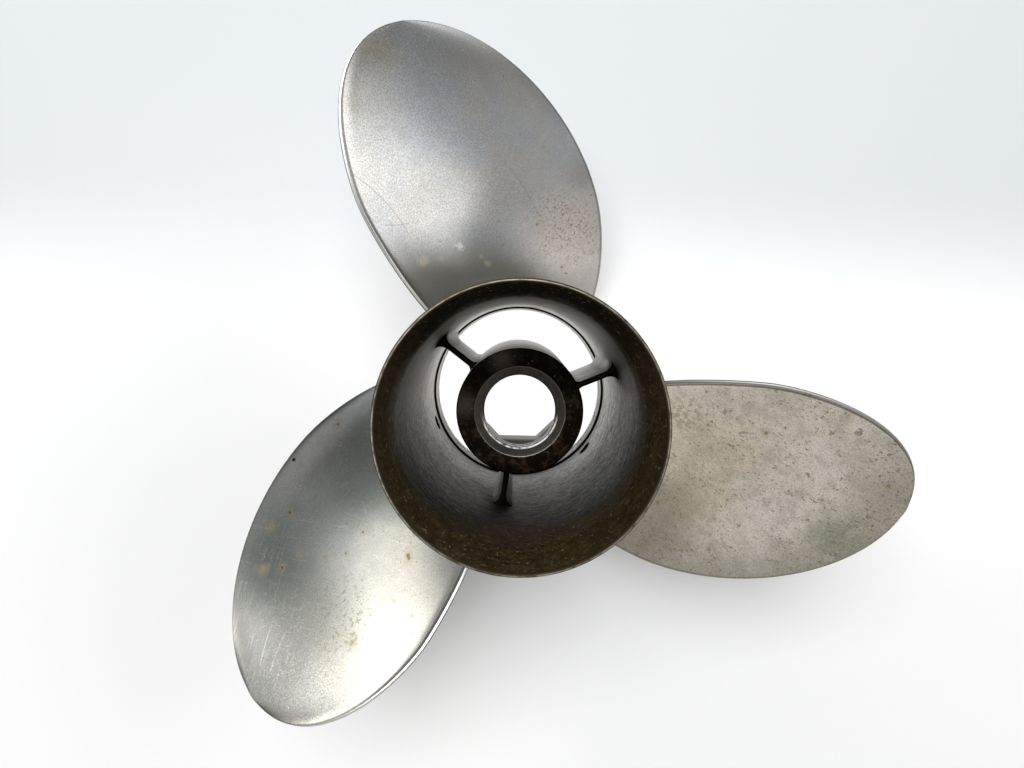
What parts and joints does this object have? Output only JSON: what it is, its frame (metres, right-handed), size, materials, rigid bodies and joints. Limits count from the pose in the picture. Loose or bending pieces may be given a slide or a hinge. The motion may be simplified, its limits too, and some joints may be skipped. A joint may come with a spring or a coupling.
{
  "type": "boat propeller",
  "caption": "Three-bladed stainless-steel boat propeller with a hollow exhaust barrel, flared aft ring, ribbed inner hub and octagonal drive socket.",
  "frame": {"origin": "on the shaft axis, in the plane of the barrel's forward end face, which the propeller stands on", "axes": "+Z runs along the shaft axis towards aft, the side with the flared ring; +Y points near blade_1, whose tip lies about 18 degrees anticlockwise of it seen from aft; +X is to the right seen from aft with +Y up"},
  "size_m": [0.3154, 0.3167, 0.194],
  "materials": {
    "barrel_steel": "satin turned stainless steel with exhaust film",
    "ring_steel": "stainless steel with a brown exhaust film and a worn bright rim",
    "hub_steel": "stainless steel, dark brown soot and rust on the aft face",
    "rib_steel": "cast stainless steel, sooted on the aft edge",
    "blade_steel": "satin brushed stainless steel with fine scratches, a polished trailing edge and small rust spots"
  },
  "bodies": {
    "root": {"outer_barrel": "barrel_steel", "diffuser_ring": "ring_steel", "inner_hub": "hub_steel", "rib_1": "rib_steel", "rib_2": "rib_steel", "rib_3": "rib_steel", "blade_1": "blade_steel", "blade_2": "blade_steel", "blade_3": "blade_steel"}
  },
  "joints": []
}
